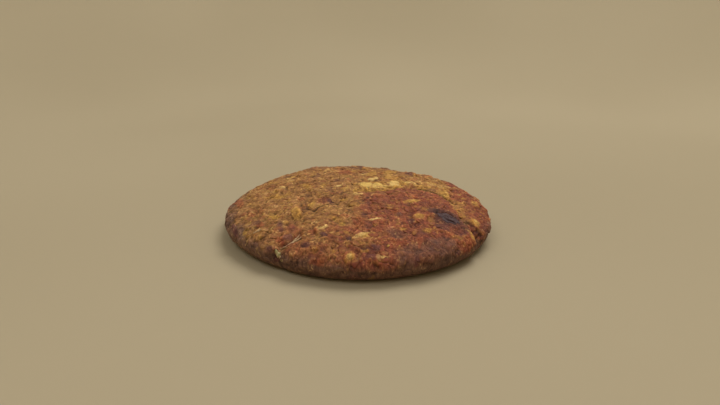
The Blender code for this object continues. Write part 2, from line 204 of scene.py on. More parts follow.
# Strips of husk that stick out at the front left: places along each, its width and how green it is
HUSK_STRIPS = (
    (((0.805, -113.6), (0.84, -114.8), (0.875, -116.1), (0.91, -117.6), (0.94, -119.2)), 0.5 * MM, 0.0),
    (((0.79, -115.4), (0.82, -115.7), (0.85, -116.0), (0.88, -116.4)), 0.4 * MM, 0.5),
    (((0.925, -133.6), (0.905, -133.2), (0.89, -132.6), (0.88, -131.6)), 0.4 * MM, 0.0),
    (((0.955, -121.0), (0.975, -119.8), (0.995, -118.5), (1.015, -117.4), (1.035, -116.4)), 1.7 * MM, 1.0),
)
HUSK_STEPS, HUSK_RISE = 28, 0.3 * MM
HUSK_RAGGED = 0.9  # how much its width changes along it, by the noise
HUSK_STIFFNESS = 0.9  # how far it evens out the skin's ups and downs
DRAPE_POINTS = 4  # the points of the skin that a point laid on it takes its level from

# The camera of the photograph: its distance, height angle, aim and lens
CAMERA_DISTANCE = 168 * MM
CAMERA_ELEVATION = 18.5
CAMERA_AIM = (0.9 * MM, 0.0, 7.4 * MM)
CAMERA_LENS = 24.45
CAMERA_SENSOR = 36.0

Flake = namedtuple("Flake", "share angle length width rise direction tilt bare")


def smooth_step(values, start, end):
    share = np.clip((values - start) / (end - start), 0.0, 1.0)
    return share * share * (3 - 2 * share)


def smooth_line(corners, steps=6):
    """A Catmull-Rom line through the corners."""
    ends = [2 * corners[0] - corners[1], *corners, 2 * corners[-1] - corners[-2]]
    points = []
    for a, b, c, d in zip(ends, ends[1:], ends[2:], ends[3:]):
        for step in range(steps):
            t = step / steps
            bend = (c - a) * t + (2 * a - 5 * b + 4 * c - d) * t**2 + (3 * b - a - 3 * c + d) * t**3
            points.append(b + 0.5 * bend)
    return np.array([*points, corners[-1]])


def noise_at(places, size, shift=0.0):
    offset = Vector((shift, shift, shift))
    return np.array([noise.noise(Vector(place) / size + offset) for place in places])


class Fold:
    """A crease of the crust along a smooth line seen from above, with one side standing over the other."""

    def __init__(self, corners, width, depths, step=0.0, step_reach=6.0 * MM):
        self.line = smooth_line([np.array((x * MM, y * MM)) for x, y in corners])
        self.width = width
        self.depths = depths
        self.step = step
        self.step_reach = step_reach

    def nearest(self, places):
        """How far along the line each place is, from 0 to 1, and how far from it: positive on the left."""
        shares = np.zeros(len(places))
        distances = np.full(len(places), np.inf)
        for k, (start, end) in enumerate(zip(self.line, self.line[1:])):
            along = end - start
            away = places[:, :2] - start
            t = np.clip(away @ along / (along @ along), 0.0, 1.0)
            away = away - t[:, None] * along
            length = np.hypot(away[:, 0], away[:, 1])
            nearer = length < np.abs(distances)
            side = np.where(along[0] * away[:, 1] - along[1] * away[:, 0] < 0, -1.0, 1.0)
            distances[nearer] = (length * side)[nearer]
            shares[nearer] = (k + t[nearer]) / (len(self.line) - 1)
        return shares, distances

    def heights(self, places):
        """How far the fold moves the crust at each place: down along its line, and down on its left side."""
        shares, distances = self.nearest(places)
        start, end = self.depths
        groove = (start + (end - start) * shares) * np.exp(-((distances / self.width) ** 2))
        low_side = smooth_step(distances, 0.0, self.width) * np.exp(-((distances / self.step_reach) ** 2))
        return -groove - self.step * low_side


def make_folds():
    """The long split of the crust, the deep fold from the raisin to the rim, and a short one at the left."""
    split_line = ((2, -10), (9, -8), (16, -3.5), (24, -3), (28.5, -8), (30, -15))
    right_line = ((28.5, -19), (31.5, -23.5), (35, -27.5), (41, -32))
    left_line = ((-12, -33), (-16.5, -35.5), (-21, -38), (-26, -44))
    return (
        Fold(split_line, width=1.3 * MM, depths=(0.3 * MM, 0.9 * MM), step=0.7 * MM),
        Fold(right_line, width=1.7 * MM, depths=(0.4 * MM, 2.6 * MM)),
        Fold(left_line, width=1.5 * MM, depths=(0.3 * MM, 1.9 * MM)),
    )


def make_creases():
    """Finer lines that only the skin has: the edges of the split and the folds, and a curved crack."""
    split_edge = ((3, -9), (9.5, -7.2), (15.5, -3), (20, -0.8), (25, -1.9), (28, -5), (30, -9))
    right_edge = ((30.5, -21.5), (34.5, -24.5), (38, -27.5), (41, -31))
    left_edge = ((-16.5, -36), (-20, -38.5), (-23, -42))
    crack = ((-15, -21.2), (-12.6, -22.6), (-11.4, -20.6), (-9, -19.7), (-5.5, -19.1))
    return (
        Fold(split_edge, width=0.6 * MM, depths=(0.35 * MM, 0.45 * MM)),
        Fold(right_edge, width=0.5 * MM, depths=(0.1 * MM, 0.1 * MM)),
        Fold(left_edge, width=0.9 * MM, depths=(0.1 * MM, 0.2 * MM)),
        Fold(crack, width=0.45 * MM, depths=(0.45 * MM, 0.15 * MM), step=0.12 * MM, step_reach=1.5 * MM),
    )


class Crust:
    """The surface of the dough, as a rule that gives the points and outward directions at any places."""

    def __init__(self):
        self.folds = make_folds()
        turn = np.linspace(math.pi / 2, 0, SECTION_STEPS + 1)
        dome_radii = RADIUS * np.cos(turn) ** (2 / DOME_POWER)
        dome_levels = WIDEST_LEVEL + (HEIGHT - WIDEST_LEVEL) * np.sin(turn)
        turn = np.linspace(0, math.pi / 2, SECTION_STEPS + 1)[1:]
        under_radii = BASE_RADIUS + (RADIUS - BASE_RADIUS) * np.cos(turn)
        under_levels = WIDEST_LEVEL * (1 - np.sin(turn))
        self.radii = np.concatenate([dome_radii, under_radii, [0.0]])
        self.levels = np.concatenate([dome_levels, under_levels, [0.0]])
        steps = np.hypot(np.diff(self.radii), np.diff(self.levels))
        lengths = np.concatenate([[0.0], np.cumsum(steps)])
        self.shares = lengths / lengths[SECTION_STEPS]
        self.flat_share, self.last_share = self.shares[-2:]

    def smooth_points(self, shares, angles):
        """The places on the form without relief."""
        radii = np.interp(shares, self.shares, self.radii)
        levels = np.interp(shares, self.shares, self.levels)
        waves = sum(high * np.cos(count * (angles - math.radians(crest))) for count, high, crest in RIM_WAVES)
        radii = radii * (1 + waves / RADIUS)
        x, y = MIDDLE[0] + radii * np.cos(angles), MIDDLE[1] + radii * np.sin(angles)
        return np.stack([x, y, levels], axis=1)

    def normals(self, shares, angles):
        place, step = self.smooth_points, SLOPE_STEP
        outwards = place(shares + step, angles) - place(shares - step, angles)
        around = place(shares, angles + step) - place(shares, angles - step)
        across = np.cross(outwards, around)
        across[shares < SLOPE_STEP] = (0, 0, 1)
        across[shares >= self.flat_share] = (0, 0, -1)
        return across / np.linalg.norm(across, axis=1)[:, None]

    def relief(self, places):
        """How far the crust stands out at each place, from lumps, crags and folds."""
        lumps = LUMP_HEIGHT * noise_at(places, LUMP_SIZE)
        rough = np.array([noise.turbulence(Vector(v) / CRAG_SIZE, CRAG_OCTAVES, True) for v in places])
        pressed = sum(fold.heights(places) for fold in self.folds)
        calm = smooth_step(places[:, 2], 0.0, CALM_BELOW)
        return calm * (lumps + CRAG_HEIGHT * (CRAG_MEAN - rough) + pressed)

    def points(self, shares, angles):
        places = self.smooth_points(shares, angles)
        return places + self.normals(shares, angles) * self.relief(places)[:, None]

    def point(self, share, angle):
        return self.points(np.array([share]), np.array([angle]))[0]

    def turns(self, shares, angles, directions):
        """A turn for each place: X runs in the direction seen from above, and Z stands on the crust."""
        normal = self.normals(shares, angles)
        along = np.stack([np.cos(directions), np.sin(directions), np.zeros(len(directions))], axis=1)
        along -= normal * np.sum(along * normal, axis=1)[:, None]
        along /= np.linalg.norm(along, axis=1)[:, None]
        return np.stack([along, np.cross(normal, along), normal], axis=2)


def columns(items, *names):
    """The items' values of each name, as arrays."""
    return [np.array([getattr(item, name) for item in items], float) for name in names]


def raisin_frame(crust):
    share, angle = RAISIN_PLACE[0], math.radians(RAISIN_PLACE[1])
    turn = crust.turns(*(np.array([value]) for value in (share, angle, math.radians(RAISIN_DIRECTION))))[0]
    return turn, crust.point(share, angle) - turn[:, 2] * RAISIN_SUNK


def plan_flakes(crust):
    """Each large flake's place, size and turn, drawn in the same order as for the solid."""
    draw = random.Random(SEED)
    raisin_middle = crust.point(RAISIN_PLACE[0], math.radians(RAISIN_PLACE[1]))
    kept_clear = max(RAISIN_HALF_AXES) + HOLLOW_GAP + RAISIN_CLEARANCE
    flakes, middles = [], []
    for share, degrees, length, width, turn, bare in SHOWN_FLAKES:
        angle = math.radians(degrees)
        tilt = draw.uniform(-FLAKE_TILT, FLAKE_TILT)
        rise = draw.uniform(*FLAKE_RISE)
        flakes.append(Flake(share, angle, length * MM, width * MM, rise, math.radians(turn), tilt, bare))
        middles.append(crust.point(share, angle))
    for _ in range(FLAKE_TRIES):
        if len(flakes) == FLAKE_COUNT:
            break
        share = FLAKE_REACH * math.sqrt(draw.random())
        angle = draw.uniform(-math.pi, math.pi)
        middle = crust.point(share, angle)
        length = LONGEST_FLAKE + (SHORTEST_FLAKE - LONGEST_FLAKE) * len(flakes) / FLAKE_COUNT
        near_raisin = np.linalg.norm(middle - raisin_middle) < kept_clear + length / 2
        crowded = any(
            np.linalg.norm(middle - other) < FLAKE_SPACING * (length + flake.length)
            for other, flake in zip(middles, flakes)
        )
        if near_raisin or crowded:
            continue
        width = length * draw.uniform(*FLAKE_WIDTH_SHARE)
        direction = draw.uniform(0, math.pi)
        tilt = draw.uniform(-FLAKE_TILT, FLAKE_TILT)
        rise = draw.uniform(*FLAKE_RISE)
        least, most = BACK_FLAKES_BARE if middle[1] > BACK_FROM else OTHER_FLAKES_BARE
        bare = least + (most - least) * (len(flakes) * GOLDEN_SHARE % 1)
        flakes.append(Flake(share, angle, length, width, rise, direction, tilt, bare))
        middles.append(middle)
    return flakes


def scatter(count, seed, lengths, rises, tilt, rarity=OAT_RARITY):
    """Oats anywhere on the crust, long ones rarer than short ones."""
    draw = random.Random(seed)
    oats = []
    for _ in range(count):
        length = lengths[0] + (lengths[1] - lengths[0]) * draw.random() ** rarity
        share = OAT_REACH * math.sqrt(draw.random())
        angle = draw.uniform(-math.pi, math.pi)
        width = length * draw.uniform(0.45, 0.85)
        rise = draw.uniform(*rises)
        direction = draw.uniform(0, 2 * math.pi)
        bare = SMALL_OAT_BARE * draw.random() ** 6
        oats.append(Flake(share, angle, length, width, rise, direction, draw.gauss(0, tilt), bare))
    return oats


def away_from_raisin(oats, crust):
    """Leaves out the oats that would reach over the raisin's hollow."""
    turn, middle = raisin_frame(crust)
    local = (crust.points(*columns(oats, "share", "angle")) - middle) @ turn
    kept = []
    for oat, place in zip(oats, local):
        a, b = (half + HOLLOW_GAP + 0.5 * oat.length for half in RAISIN_HALF_AXES[:2])
        if (place[0] / a) ** 2 + (place[1] / b) ** 2 > 1:
            kept.append(oat)
    return kept


def uneven_outline(draw, angles, roughness):
    """The reach of a broken outline in each direction, about 1."""
    reach = np.ones(len(angles))
    for waves in range(2, 6):
        high = roughness * draw.uniform(0.3, 1.0) / waves
        reach += high * np.cos(waves * angles + draw.uniform(0, 2 * math.pi))
    return reach


def growing_faces(inner, inner_count, outer, outer_count):
    """Faces from a ring to the next one out, which has one more point in each of its six sides."""
    faces = []
    per_side = outer_count // SIDES_PER_RING
    for side in range(SIDES_PER_RING):
        for k in range(per_side):
            a = outer + side * per_side + k
            b = outer + (side * per_side + k + 1) % outer_count
            c = inner + (side * (per_side - 1) + k) % inner_count
            faces.append((a, b, c))
            if k < per_side - 1:
                d = inner + (side * (per_side - 1) + k + 1) % inner_count
                faces.append((c, b, d))
    return faces


def equal_faces(first, second, count):
    """Faces from a ring to the next one, which has as many points."""
    ahead = [(k + 1) % count for k in range(count)]
    return [(first + k, second + k, second + right, first + right) for k, right in enumerate(ahead)]


def shrinking_faces(first, first_count, second):
    """Faces from a ring to the next one, which has a third of its points."""
    faces = []
    second_count = first_count // FLAT_SIDES_SHARE
    for k in range(second_count):
        a, b = second + k, second + (k + 1) % second_count
        along = FLAT_SIDES_SHARE * k
        p, q, r, s = (first + (along + step) % first_count for step in range(FLAT_SIDES_SHARE + 1))
        faces += [(p, a, q), (q, a, b), (q, b, r), (r, b, s)]
    return faces


def tree_of(places):
    tree = kdtree.KDTree(len(places))
    for k, place in enumerate(places):
        tree.insert(place, k)
    tree.balance()
    return tree


class Skin:
    """The dough's surface as a dense closed mesh, whose points move along their outward directions."""

    def __init__(self, crust):
        self.crust = crust
        self.make_rings()
        self.smooth = crust.smooth_points(self.shares, self.angles)
        self.normals = crust.normals(self.shares, self.angles)
        self.calm = smooth_step(self.smooth[:, 2], 0.0, CALM_BELOW)
        self.heights = crust.relief(self.smooth)
        self.oat = np.zeros(len(self.shares))
        self.tone = np.full(len(self.shares), 0.5)
        self.crease = np.zeros(len(self.shares))
        self.spots = np.zeros((len(self.shares), 4))
        self.tree = tree_of(self.smooth)

    def make_rings(self):
        """Rings from the middle of the top, over the side and the flat, to the middle of the flat."""
        shares, angles, faces = [0.0], [0.0], []

        def add_ring(share, sides):
            first = len(shares)
            shares.extend([share] * sides)
            angles.extend(2 * math.pi * k / sides for k in range(sides))
            return first

        last, count = 0, 1
        for ring in range(1, TOP_RINGS + 1):
            outer = add_ring(ring / TOP_RINGS, SIDES_PER_RING * ring)
            faces += growing_faces(last, count, outer, SIDES_PER_RING * ring)
            last, count = outer, SIDES_PER_RING * ring
        flat, end = self.crust.flat_share, self.crust.last_share
        for ring in range(1, SIDE_RINGS + 1):
            following = add_ring(1 + (flat - 1) * ring / SIDE_RINGS, count)
            faces += equal_faces(last, following, count)
            last = following
        for ring in range(1, FLAT_RINGS):
            share = flat + (end - flat) * ring / FLAT_RINGS
            if ring == 1:
                following = add_ring(share, count // FLAT_SIDES_SHARE)
                faces += shrinking_faces(last, count, following)
                count //= FLAT_SIDES_SHARE
            else:
                following = add_ring(share, count)
                faces += equal_faces(last, following, count)
            last = following
        middle = add_ring(end, 1)
        faces += [(last + k, middle, last + (k + 1) % count) for k in range(count)]
        self.shares, self.angles, self.faces = np.array(shares), np.array(angles), faces

    def roughen(self):
        """Wavy ridges and grain all over, and pores in the flat."""
        stretched = self.smooth * (1, 1, SIDE_STRETCH)
        swirl = np.stack([noise_at(stretched, SWIRL_SIZE, shift) for shift in SWIRL_SHIFTS], axis=1)
        ridges = RIDGE_HEIGHT * (0.5 - 2 * np.abs(noise_at(stretched + SWIRL_REACH * swirl, RIDGE_SIZE, 31)))
        grain = GRAIN_HEIGHT * noise_at(stretched, GRAIN_SIZE, 57)
        self.heights += self.calm * (ridges + grain)
        pores = PORE_DEPTH * np.clip(noise_at(self.smooth, PORE_SIZE, 73) * 2, 0, 1)
        inside = smooth_step(self.shares, self.crust.flat_share, self.crust.flat_share + 0.05)
        self.heights -= inside * pores
        broad = self.crust.relief(self.smooth)
        kept = 1 - PURPLE_CALM * zone_values(self.smooth, self.crust)[:, 2]
        self.heights = broad + kept * (self.heights - broad)
        for line in make_creases():
            self.heights += self.calm * line.heights(self.smooth)
            # The crease attribute marks these lines, and the material darkens them as painted shade
            _, distances = line.nearest(self.smooth)
            self.crease = np.maximum(self.crease, np.exp(-((distances / line.width) ** 2)))

    def press(self, items, seed, roughness=0.2, soft=0.25):
        """Gives each flat item's points, how far it covers them, and its own level there."""
        draw = random.Random(seed)
        shares, angles, directions = columns(items, "share", "angle", "direction")
        turns = self.crust.turns(shares, angles, directions)
        for item, turn, middle in zip(items, turns, self.crust.smooth_points(shares, angles)):
            reach = 0.5 * max(item.length, item.width) * (1 + roughness + soft)
            near = np.array([index for _, index, _ in self.tree.find_range(middle, reach)])
            if len(near) == 0:
                continue
            x, y, _ = ((self.smooth[near] - middle) @ turn).T
            outline = uneven_outline(draw, np.arctan2(y / item.width, x / item.length), roughness)
            radii = np.hypot(2 * x / item.length, 2 * y / item.width) / outline
            plate = smooth_step(radii, 1 + soft, 1 - soft)
            lean = math.tan(math.radians(item.tilt)) * y
            inside = radii < 1
            level = self.heights[near][inside].mean() if inside.any() else 0.0
            evened = (1 - EVENED) * self.heights[near] + EVENED * level
            raised = evened + self.calm[near] * (item.rise + lean)
            yield item, near, plate, raised, radii

    def press_oats(self, items, seed):
        """Small oats under the skin: each shows where it stands over what lies there already."""
        for item, near, plate, raised, _ in self.press(items, seed):
            over = raised * plate + (self.heights[near] - OAT_DIP) * (1 - plate) - self.heights[near]
            shown = smooth_step(over, *OAT_SHOWS) * smooth_step(plate, 0.0, 0.5)
            self.heights[near] += np.maximum(over, 0) * (plate > 0)
            self.oat[near] += (1 - self.oat[near]) * shown
            self.tone[near] += (item.bare - self.tone[near]) * shown

    def press_flakes(self, items, seed):
        """Large flakes: dough swells up round each. Those not bare are baked into the skin itself."""
        for item, near, plate, raised, _ in self.press(items, seed, 0.12, 0.3):
            own_piece = item.bare >= BARE_FROM
            over = np.clip(noise_at(self.smooth[near], COVER_SIZE, 15), 0, 1) * COVER_HEIGHT
            level = raised + self.calm[near] * (over - FLAKE_LIFT * item.rise * own_piece)
            self.heights[near] += (level - self.heights[near]) * plate * FLAKE_FLATNESS
            shown = 0.0 if own_piece else 1.0
            self.oat[near] += (shown - self.oat[near]) * plate
            self.tone[near] += (0.4 + 0.5 * item.bare - self.tone[near]) * plate

    def press_fruit(self, items, seed):
        """Bits of fruit under the skin: smooth low bumps."""
        for item, near, plate, raised, radii in self.press(items, seed, 0.3, 0.4):
            crown = raised + self.calm[near] * FRUIT_RISE * np.clip(1 - radii**2, 0, 1)
            self.heights[near] += (crown - self.heights[near]) * plate * FRUIT_FLATNESS
            self.oat[near] *= 1 - plate

    def paint(self, channel, items, seed):
        """Soft spots in one of the four channels, as strong as each item is bare."""
        for item, near, plate, _, _ in self.press(items, seed, 0.3, 0.85):
            self.spots[near, channel] = np.maximum(self.spots[near, channel], plate * item.bare)

    def swell_round_raisin(self):
        """A low lip of dough round the raisin."""
        turn, middle = raisin_frame(self.crust)
        local = (self.smooth - middle) @ turn
        reach = np.hypot(local[:, 0] / RAISIN_HALF_AXES[0], local[:, 1] / RAISIN_HALF_AXES[1])
        lip = LIP_HEIGHT * np.exp(-(((reach - 1) / LIP_WIDTH) ** 2))
        near = np.abs(local[:, 2]) < 2 * RAISIN_HALF_AXES[2]
        self.heights += np.where(near, lip, 0)
        stain = STAIN * np.exp(-(np.clip(reach - STAIN_START, 0, None) / STAIN_FADE) ** 2)
        # The stain goes into the crease attribute, so the material darkens it together with the painted shade
        # of the creases
        self.crease = np.maximum(self.crease, np.where(near, stain, 0))

    def at(self, items):
        """Where the finished skin lies at each item's place, and the zones and spots there."""
        places = self.crust.smooth_points(*columns(items, "share", "angle"))
        nearest = [self.tree.find(place)[1] for place in places]
        tops = places + self.normals[nearest] * self.heights[nearest][:, None]
        return tops, zone_values(tops, self.crust), self.spots[nearest]

    def finish(self):
        """Settles the points, and takes those that are inside the raisin down, so that its top shows."""
        points = self.smooth + self.normals * self.heights[:, None]
        turn, middle = raisin_frame(self.crust)
        local = (points - middle) @ turn
        a, b, c = RAISIN_HALF_AXES
        reach = (local[:, 0] / a) ** 2 + (local[:, 1] / b) ** 2
        roof = c * np.sqrt(np.clip(1 - reach, 0, 1))
        near = (reach < 1) & (np.abs(local[:, 2]) < roof)
        local[near, 2] = UNDER_SHARE * roof[near] - UNDER_RAISIN
        self.points = np.where(near[:, None], local @ turn.T + middle, points)
        self.top_tree = tree_of(self.points)

    def drape(self, local, turn, middle):
        """Lays points, given in a frame on the crust, on the finished skin: their Z counts from there."""
        flat = np.column_stack([local[:, :2], np.zeros(len(local))]) @ turn.T + middle
        levels = []
        for place in flat:
            found = [self.points[index] for _, index, _ in self.top_tree.find_n(place, DRAPE_POINTS)]
            levels.append(((np.mean(found, axis=0) - middle) @ turn)[2])
        draped = np.column_stack([local[:, :2], local[:, 2] + levels])
        return draped @ turn.T + middle


def spread(values, edges, rounds):
    """The values, evened out with those of the neighbours some times over."""
    starts, ends = edges.T
    count = np.bincount(starts, minlength=len(values)) + np.bincount(ends, minlength=len(values))
    for _ in range(rounds):
        total = sum(np.bincount(a, values[b], len(values)) for a, b in ((starts, ends), (ends, starts)))
        values = 0.5 * values + 0.5 * total / count
    return values


def zone_values(places, crust):
    """How yellow, how red and how purple the crust is baked at each place, and how dark it is. The dark zone
    is darker towards the bottom, at the left and at the back: at the back a browner baked rim; towards the
    bottom partly that baked rim and partly painted shade; at the left painted shade. The foot's lowest edge
    is made lighter, as painted light.

    Each zone starts and is full at the two places in millimetres that its step names. The noise lets its edge
    wander by as many millimetres as it is multiplied by.
    """
    x, y, z = (places / MM).T
    wander = noise_at(places, 7 * MM, 5)
    _, split = crust.folds[0].nearest(places)
    split = split / MM
    behind = smooth_step(split, -0.4, 0.5) * smooth_step(x, -6, 6)
    yellow = behind * (0.35 + 0.65 * np.exp(-((np.maximum(split, 0) / 10) ** 2)))
    red = smooth_step(x - 0.3 * y + 9 * wander, -6, 22) * (1 - 0.8 * behind)
    red = np.maximum(red, 0.6 * smooth_step(-y + 10 * wander, 24, 40))
    red = np.maximum(red, smooth_step(x + 4 * wander, 28, 36))
    purple = smooth_step(x + 6 * wander, 6, 18) * smooth_step(-x + 6 * wander, -41, -32)
    purple *= smooth_step(-y + 5 * wander, 33, 39)
    # Partly painted shade: darker towards the bottom, and higher up on the left, besides the rim's browner
    # baking
    dark = smooth_step(-z + 2.0 * wander + 0.07 * np.maximum(-x, 0), -8.0, -2.5)
    # Painted light: the foot's lowest edge is lighter
    dark *= 1 - 0.5 * smooth_step(-z, -1.6, -0.6)
    # Painted shade on the left side
    dark = np.maximum(dark, 0.6 * smooth_step(-x + 4 * wander, 30, 44))
    dark = np.maximum(dark, 0.5 * smooth_step(y + 6 * wander, 20, 32))
    return np.clip(np.stack([yellow, red, purple, dark], axis=1), 0, 1)


def add_object(name, data, place=(0, 0, 0), aim=None):
    """A new object in the scene. One with an aim looks there, as a camera or a lamp does."""
    added = bpy.data.objects.new(name, data)
    added.location = place
    if aim is not None:
        added.rotation_euler = (Vector(aim) - Vector(place)).to_track_quat("-Z", "Y").to_euler()
    bpy.context.scene.collection.objects.link(added)
    return added


def new_piece(name, points, faces, material, attributes):
    mesh = bpy.data.meshes.new(name)
    mesh.from_pydata(np.asarray(points).tolist(), [], faces)
    mesh.shade_smooth()
    for key, values in attributes.items():
        set_attribute(mesh, key, values)
    mesh.materials.append(material)
    return add_object(name, mesh)


def set_attribute(mesh, name, values):
    """Stores one number or four for each point of the mesh."""
    values = np.asarray(values, np.float32)
    if values.ndim == 2:
        mesh.attributes.new(name, "FLOAT_COLOR", "POINT").data.foreach_set("color", values.ravel())
    else:
        mesh.attributes.new(name, "FLOAT", "POINT").data.foreach_set("value", values)


def make_dough(skin):
    piece = new_piece("cookie_dough", skin.points, skin.faces, dough_material(), {})
    mesh = piece.data
    edges = np.empty(2 * len(mesh.edges), np.int32)
    mesh.edges.foreach_get("vertices", edges)
    edges = edges.reshape(-1, 2)
    # How far each point lies below its neighbours, finely and broadly: the material paints shade in these
    # hollows and light on the crests
    fine = (spread(skin.heights, edges, 5) - skin.heights) / MM
    broad = (spread(skin.heights, edges, 40) - skin.heights) / MM
    attributes = {"oat": skin.oat, "tone": skin.tone, "crease": skin.crease, "groove": fine, "pit": broad}
    attributes |= {"zone": zone_values(skin.smooth, skin.crust), "spot": skin.spots}
    for key, values in attributes.items():
        set_attribute(mesh, key, values)
    return piece


def disc_faces(rings, sides):
    """Faces of a closed disc: a middle point, rings out over the top and back under, and a lower middle."""
    faces = [(0, 1 + k, 1 + (k + 1) % sides) for k in range(sides)]
    for ring in range(rings - 1):
        first = 1 + ring * sides
        faces += equal_faces(first, first + sides, sides)
    last = 1 + (rings - 1) * sides
    faces += [(last + k, last + sides, last + (k + 1) % sides) for k in range(sides)]
    return faces


def make_oats(name, oats, skin, material, sides, top_rings, seed):
    """Rolled oats: uneven oval discs with a groove along them and a worn edge."""
    angles = 2 * math.pi * np.arange(sides) / sides
    steps = [(k + 1) / top_rings for k in range(top_rings)]
    section = [*((share, 1.0 - 1.1 * share**5) for share in steps), *OAT_LOWER]

    def shape(oat, turn, middle, draw):
        outline = uneven_outline(draw, angles, 0.3)
        phase = draw.uniform(0, 50)
        lift = oat.rise * FLAKE_LIFT
        points, edges = [(0, 0, lift)], [0.0]
        for k, (share, level) in enumerate(section):
            x = 0.5 * oat.length * share * outline * np.cos(angles)
            y = 0.5 * oat.width * share * outline * np.sin(angles)
            z = level * lift + math.tan(math.radians(oat.tilt)) * y * 0.5
            if k < top_rings:
                ripple, sway = (
                    np.array([noise.noise(Vector((u / size, v / size, phase))) for u, v in zip(x, y)])
                    for size in (MM, OAT_SWAY_SIZE)
                )
                groove = OAT_GROOVE * np.exp(-((y / (0.12 * oat.width)) ** 2))
                z = z + lift * (0.5 * ripple + OAT_SWAY * sway - groove)
            points += list(zip(x, y, z))
            edges += [share if k < top_rings else 1.0] * sides
        points.append((0, 0, -2.2 * lift))
        return skin.drape(np.array(points), turn, middle), [*edges, 1.0]

    return join_items(name, oats, skin, material, disc_faces(top_rings + 2, sides), seed, shape)


def join_items(name, items, skin, material, faces_of_one, seed, shape):
    """All items of a kind as one mesh, each with its own tone. The shape gives one's points and its rim."""
    turns = skin.crust.turns(*columns(items, "share", "angle", "direction"))
    draw = random.Random(seed)
    points, faces = [], []
    rows = {key: [] for key in ("tone", "bare", "rim", "zone", "spot")}
    for item, turn, middle, zone, spot in zip(items, turns, *skin.at(items)):
        own_points, rim = shape(item, turn, middle, draw)
        faces += [tuple(len(points) + k for k in face) for face in faces_of_one]
        points += own_points.tolist()
        # Oats in plum spots and in the dark zone, which is partly painted shade, are covered with dough
        bare = item.bare * (1 - spot[PLUM_CHANNEL]) * (1 - zone[DARK_CHANNEL])
        for key, value in (("tone", draw.random()), ("bare", bare), ("zone", zone), ("spot", spot)):
            rows[key] += [value] * len(rim)
        rows["rim"] += rim
    return new_piece(name, points, faces, material, rows)


def ball(subdivisions, radius):
    """The points and faces of an even ball."""
    bm = bmesh.new()
    bmesh.ops.create_icosphere(bm, subdivisions=subdivisions, radius=radius)
    bm.verts.index_update()
    points = [vert.co.copy() for vert in bm.verts]
    faces = [tuple(vert.index for vert in face.verts) for face in bm.faces]
    bm.free()
    return points, faces


def make_crumbs(skin, material):
    """Small uneven lumps on the skin."""
    place_seed, shape_seed = CRUMB_SEEDS
    crumbs = scatter(CRUMB_COUNT, place_seed, CRUMB_SIZES, (0, 0), 0, CRUMB_RARITY)
    crumbs = [crumb._replace(bare=0) for crumb in away_from_raisin(crumbs, skin.crust)]
    round_points, faces = ball(1, 0.5)

    def shape(crumb, _, middle, draw):
        size = crumb.length * np.array([draw.uniform(0.7, 1.2) for _ in range(3)])
        uneven = np.array([[draw.uniform(0.8, 1.2)] for _ in round_points])
        return np.array(round_points) * uneven * size + middle, [0.0] * len(round_points)

    return join_items("crumbs", crumbs, skin, material, faces, shape_seed, shape)


def husk_strip(skin, corners, width, rise):
    """The points of a thin strip that lies along the skin with one edge a little up."""
    line = smooth_line([np.array(corner) for corner in corners], HUSK_STEPS // (len(corners) - 1))
    items = spot_items([(*place, 0, 0, 0) for place in line])
    places = columns(items, "share", "angle")
    normals, smooth = skin.crust.normals(*places), skin.crust.smooth_points(*places)
    heights = np.sum((skin.at(items)[0] - smooth) * normals, axis=1)
    heights += HUSK_STIFFNESS * (heights.mean() - heights)
    tops = smooth + normals * heights[:, None]
    points = []
    for k, (top, normal) in enumerate(zip(tops, normals)):
        along = tops[min(k + 1, len(tops) - 1)] - tops[max(k - 1, 0)]
        across = np.cross(normal, along)
        across /= np.linalg.norm(across)
        taper = math.sin(math.pi * (0.06 + 0.88 * k / (len(tops) - 1))) ** 0.5
        half = 0.5 * width * taper * (1 + HUSK_RAGGED * noise.noise(Vector((k * 0.37, width / MM, 0))))
        lift = rise + 0.05 * MM * math.sin(k * 0.6)
        for side, high in ((-1, -0.3 * MM), (-0.6, lift), (0.5, lift + 0.1 * MM), (1, -0.2 * MM)):
            points.append(top + across * side * half + normal * high)
    return points


def make_husk(skin):
    """Thin pale strips of oat husk, baked in at the front left with an edge standing out."""
    points, faces, greens = [], [], []
    for corners, width, green in HUSK_STRIPS:
        first = len(points)
        strip = husk_strip(skin, corners, width, HUSK_RISE * (1 - 0.6 * green))
        for a in range(first, first + len(strip) - 4, 4):
            faces += [(a + s, a + (s + 1) % 4, a + 4 + (s + 1) % 4, a + 4 + s) for s in range(4)]
        last = first + len(strip) - 4
        faces += [tuple(first + s for s in (3, 2, 1, 0)), tuple(last + s for s in range(4))]
        points += strip
        greens += [green] * len(strip)
    return new_piece("husk", points, faces, husk_material(), {"green": greens})


def make_raisin(crust):
    """A long round body. Broad folds run from end to end, and fine wrinkles cross them."""
    turn, middle = raisin_frame(crust)
    units, faces = ball(6, 1.0)
    points, deep = [], []
    for unit in units:
        wander = RAISIN_WANDER * noise.noise(unit / RAISIN_WANDER_SIZE)
        ridge = 0.5 - 0.5 * math.cos(RAISIN_FOLDS * math.atan2(unit.z, unit.y) + wander)
        fold = RAISIN_FOLD_DEPTH * (1 - ridge**RAISIN_FOLD_POWER) * (1 - unit.x**RAISIN_END_POWER)
        fine = noise.turbulence(unit * RAISIN_WRINKLES + Vector((4, 0, 0)), 3, True)
        deep.append(fold + RAISIN_WRINKLE_DEPTH * fine)
        points.append([c * half * (1 - deep[-1]) for c, half in zip(unit, RAISIN_HALF_AXES)])
    points = np.array(points) @ turn.T + middle
    # The folds' depth goes to the material, which darkens the folds as painted shade
    return new_piece("raisin_skin", points, faces, raisin_material(), {"groove": deep})


def srgb(red, green, blue):
    """A colour as a screen shows it, from 0 to 255, turned into the shader's linear values."""
    linear = []
    for value in (red, green, blue):
        value /= 255
        linear.append(value / 12.92 if value <= 0.04045 else ((value + 0.055) / 1.055) ** 2.4)
    return (*linear, 1.0)


